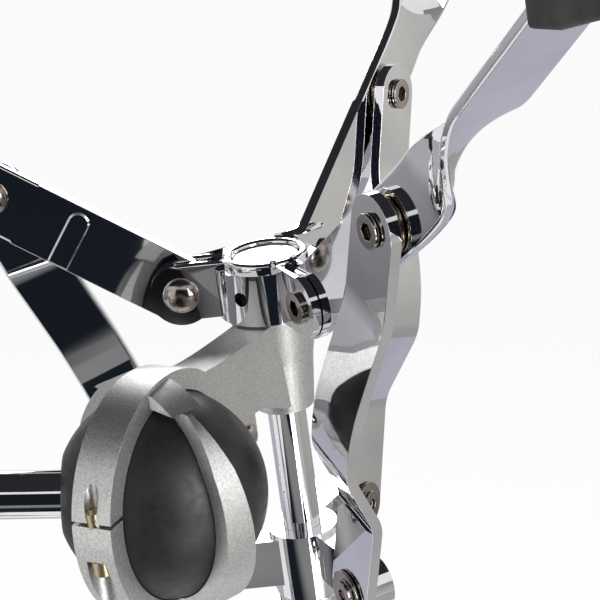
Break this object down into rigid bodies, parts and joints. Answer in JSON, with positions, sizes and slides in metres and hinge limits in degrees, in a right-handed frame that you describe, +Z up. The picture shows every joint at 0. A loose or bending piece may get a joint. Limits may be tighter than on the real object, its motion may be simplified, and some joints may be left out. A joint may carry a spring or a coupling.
{
  "type": "snare drum stand",
  "caption": "Snare drum stand with a folding three-arm basket on a ball tilter, carried by a post on a height-adjustable double-braced tripod.",
  "frame": {"origin": "on the floor, on the axis of the upright tubes", "axes": "+Z up, +X along the horizontal post towards the basket; the folding basket leans 7.1 degrees towards -X at rest"},
  "size_m": [0.5634, 0.5458, 0.6768],
  "materials": {
    "chrome": "mirror chrome plate",
    "cast_aluminium": "sand cast, matt",
    "plated_steel": "plated, satin",
    "dark_steel": "blackened",
    "brass": "plain brass",
    "rubber": "matt",
    "nylon": "matt black"
  },
  "bodies": {
    "base": {"base_tube": "chrome", "brace_collar": "cast_aluminium", "tube_bushing": "nylon", "height_clamp": "cast_aluminium"},
    "column": {"upper_tube": "chrome", "memory_lock": "cast_aluminium"},
    "bracket": {"top_bracket": "cast_aluminium"},
    "post": {"post": "chrome", "post_cap": "rubber"},
    "ball": {"ball": "nylon"},
    "basket_head": {"clamp_arm": "cast_aluminium", "clamp_jaw": "cast_aluminium", "jaw_pin": "plated_steel", "hub": "chrome", "hub_cap": "chrome", "centre_tube": "chrome", "set_screw": "dark_steel", "hub_bolts": "plated_steel"},
    "collar": {"lower_collar": "chrome", "collar_bolts": "plated_steel"},
    "nut": {"basket_nut": "chrome"},
    "leg_collar": {"leg_collar": "cast_aluminium", "leg_pins": "plated_steel"},
    "height_screw": {"height_wing": "chrome"},
    "memory_bolt": {"memory_screw": "dark_steel"},
    "leg_screw": {"leg_collar_wing": "chrome"},
    "bracket_screw": {"bracket_wing": "chrome"},
    "clamp_knob": {"clamp_screw": "brass"},
    "arm_1": {"arm_1": "chrome", "strut_bolt_1": "plated_steel", "brass_ring_1": "brass", "rubber_1": "rubber"},
    "strut_1": {"strut_1": "chrome"},
    "leg_1": {"leg_1": "chrome", "foot_1": "rubber", "brace_pin_1": "plated_steel"},
    "brace_1": {"brace_1": "chrome", "tip_pin_1": "plated_steel"},
    "arm_2": {"arm_2": "chrome", "strut_bolt_2": "plated_steel", "brass_ring_2": "brass", "rubber_2": "rubber"},
    "strut_2": {"strut_2": "chrome"},
    "leg_2": {"leg_2": "chrome", "foot_2": "rubber", "brace_pin_2": "plated_steel"},
    "brace_2": {"brace_2": "chrome", "tip_pin_2": "plated_steel"},
    "arm_3": {"arm_3": "chrome", "strut_bolt_3": "plated_steel", "brass_ring_3": "brass", "rubber_3": "rubber"},
    "strut_3": {"strut_3": "chrome"},
    "leg_3": {"leg_3": "chrome", "foot_3": "rubber", "brace_pin_3": "plated_steel"},
    "brace_3": {"brace_3": "chrome", "tip_pin_3": "plated_steel"}
  },
  "joints": [
    {"name": "height_slide", "type": "slide", "parent": "base", "child": "column", "axis": [0, 0, 1], "range_m": [-0.03, 0.12]},
    {"name": "bracket_swivel", "type": "hinge", "parent": "column", "child": "bracket", "pos_m": [0, 0, 0.45], "axis": [0, 0, 1], "continuous": true},
    {"name": "post_reach", "type": "slide", "parent": "bracket", "child": "post", "axis": [1, 0, 0], "range_m": [-0.03, 0.014]},
    {"name": "ball_roll", "type": "hinge", "parent": "post", "child": "ball", "pos_m": [0.09, 0, 0.47], "axis": [1, 0, 0], "range_deg": [-25, 25]},
    {"name": "ball_tilt", "type": "hinge", "parent": "ball", "child": "basket_head", "pos_m": [0.09, 0, 0.47], "axis": [0, 1, 0], "range_deg": [-20, 20]},
    {"name": "arm_fold_1", "type": "hinge", "parent": "basket_head", "child": "arm_1", "pos_m": [0.0946, 0.06171, 0.50353], "axis": [0.0589, 0.9982, 0.0073], "range_deg": [-6.7, 42]},
    {"name": "strut_fold_1", "type": "hinge", "parent": "arm_1", "child": "strut_1", "pos_m": [0.04129, 0.06465, 0.53157], "axis": [0.0589, 0.9982, 0.0073], "range_deg": [-27, 4.4]},
    {"name": "arm_fold_2", "type": "hinge", "parent": "basket_head", "child": "arm_2", "pos_m": [0.13047, 0.03788, 0.50799], "axis": [-0.8873, -0.4478, -0.1105], "range_deg": [-6.8, 42.2]},
    {"name": "strut_fold_2", "type": "hinge", "parent": "arm_2", "child": "strut_2", "pos_m": [0.14822, -0.0064, 0.54488], "axis": [-0.8873, -0.4478, -0.1105], "range_deg": [-27, 4.4]},
    {"name": "arm_fold_3", "type": "hinge", "parent": "basket_head", "child": "arm_3", "pos_m": [0.13302, 0.0811, 0.50831], "axis": [0.8284, -0.5505, 0.1032], "range_deg": [-6.8, 42.2]},
    {"name": "strut_fold_3", "type": "hinge", "parent": "arm_3", "child": "strut_3", "pos_m": [0.15581, 0.12244, 0.54583], "axis": [0.8284, -0.5505, 0.1032], "range_deg": [-27, 4.4]},
    {"name": "collar_slide", "type": "slide", "parent": "basket_head", "child": "collar", "axis": [-0.1236, 0, 0.9923], "range_m": [-0.0031, 0.019]},
    {"name": "nut_spin", "type": "hinge", "parent": "collar", "child": "nut", "pos_m": [0.13255, 0.06023, 0.40075], "axis": [-0.1236, 0, 0.9923], "continuous": true},
    {"name": "leg_collar_slide", "type": "slide", "parent": "base", "child": "leg_collar", "axis": [0, 0, 1], "range_m": [0, 0.125]},
    {"name": "leg_fold_1", "type": "hinge", "parent": "leg_collar", "child": "leg_1", "pos_m": [0.02334, 0.01189, 0.18687], "axis": [-0.454, 0.891, 0], "range_deg": [0, 50]},
    {"name": "brace_fold_1", "type": "hinge", "parent": "leg_1", "child": "brace_1", "pos_m": [0.11402, 0.0581, 0.12328], "axis": [-0.454, 0.891, 0], "range_deg": [-100, 0]},
    {"name": "leg_fold_2", "type": "hinge", "parent": "leg_collar", "child": "leg_2", "pos_m": [-0.02197, 0.01427, 0.18687], "axis": [-0.5446, -0.8387, 0], "range_deg": [0, 50]},
    {"name": "brace_fold_2", "type": "hinge", "parent": "leg_2", "child": "brace_2", "pos_m": [-0.10732, 0.06969, 0.12328], "axis": [-0.5446, -0.8387, 0], "range_deg": [-100, 0]},
    {"name": "leg_fold_3", "type": "hinge", "parent": "leg_collar", "child": "leg_3", "pos_m": [-0.00137, -0.02616, 0.18687], "axis": [0.9986, -0.0523, 0], "range_deg": [0, 50]},
    {"name": "brace_fold_3", "type": "hinge", "parent": "leg_3", "child": "brace_3", "pos_m": [-0.0067, -0.12779, 0.12328], "axis": [0.9986, -0.0523, 0], "range_deg": [-100, 0]},
    {"name": "height_wing_turn", "type": "hinge", "parent": "base", "child": "height_screw", "pos_m": [-0.0137, 0, 0.346], "axis": [1, 0, 0], "range_deg": [-180, 180]},
    {"name": "memory_screw_turn", "type": "hinge", "parent": "column", "child": "memory_bolt", "pos_m": [0, 0.01, 0.4055], "axis": [0, 1, 0], "range_deg": [-180, 180]},
    {"name": "leg_wing_turn", "type": "hinge", "parent": "leg_collar", "child": "leg_screw", "pos_m": [-0.01247, -0.00636, 0.18687], "axis": [-0.891, -0.454, 0], "range_deg": [-180, 180]},
    {"name": "bracket_wing_turn", "type": "hinge", "parent": "bracket", "child": "bracket_screw", "pos_m": [0, -0.01, 0.47], "axis": [0, 1, 0], "range_deg": [-180, 180]},
    {"name": "clamp_screw_turn", "type": "hinge", "parent": "basket_head", "child": "clamp_knob", "pos_m": [0.07528, -0.02654, 0.46817], "axis": [-0.1236, 0, 0.9923], "range_deg": [-180, 180]}
  ],
  "couplings": [
    {"joint": "strut_fold_1", "follows": "arm_fold_1", "ratio": -0.624},
    {"joint": "arm_fold_2", "follows": "arm_fold_1", "ratio": 1},
    {"joint": "strut_fold_2", "follows": "arm_fold_1", "ratio": -0.624},
    {"joint": "arm_fold_3", "follows": "arm_fold_1", "ratio": 1},
    {"joint": "strut_fold_3", "follows": "arm_fold_1", "ratio": -0.624},
    {"joint": "collar_slide", "follows": "arm_fold_1", "m_per_rad": 0.02564},
    {"joint": "brace_fold_1", "follows": "leg_fold_1", "ratio": -2},
    {"joint": "leg_fold_2", "follows": "leg_fold_1", "ratio": 1},
    {"joint": "brace_fold_2", "follows": "leg_fold_1", "ratio": -2},
    {"joint": "leg_fold_3", "follows": "leg_fold_1", "ratio": 1},
    {"joint": "brace_fold_3", "follows": "leg_fold_1", "ratio": -2},
    {"joint": "leg_collar_slide", "follows": "leg_fold_1", "m_per_rad": 0.14095}
  ]
}
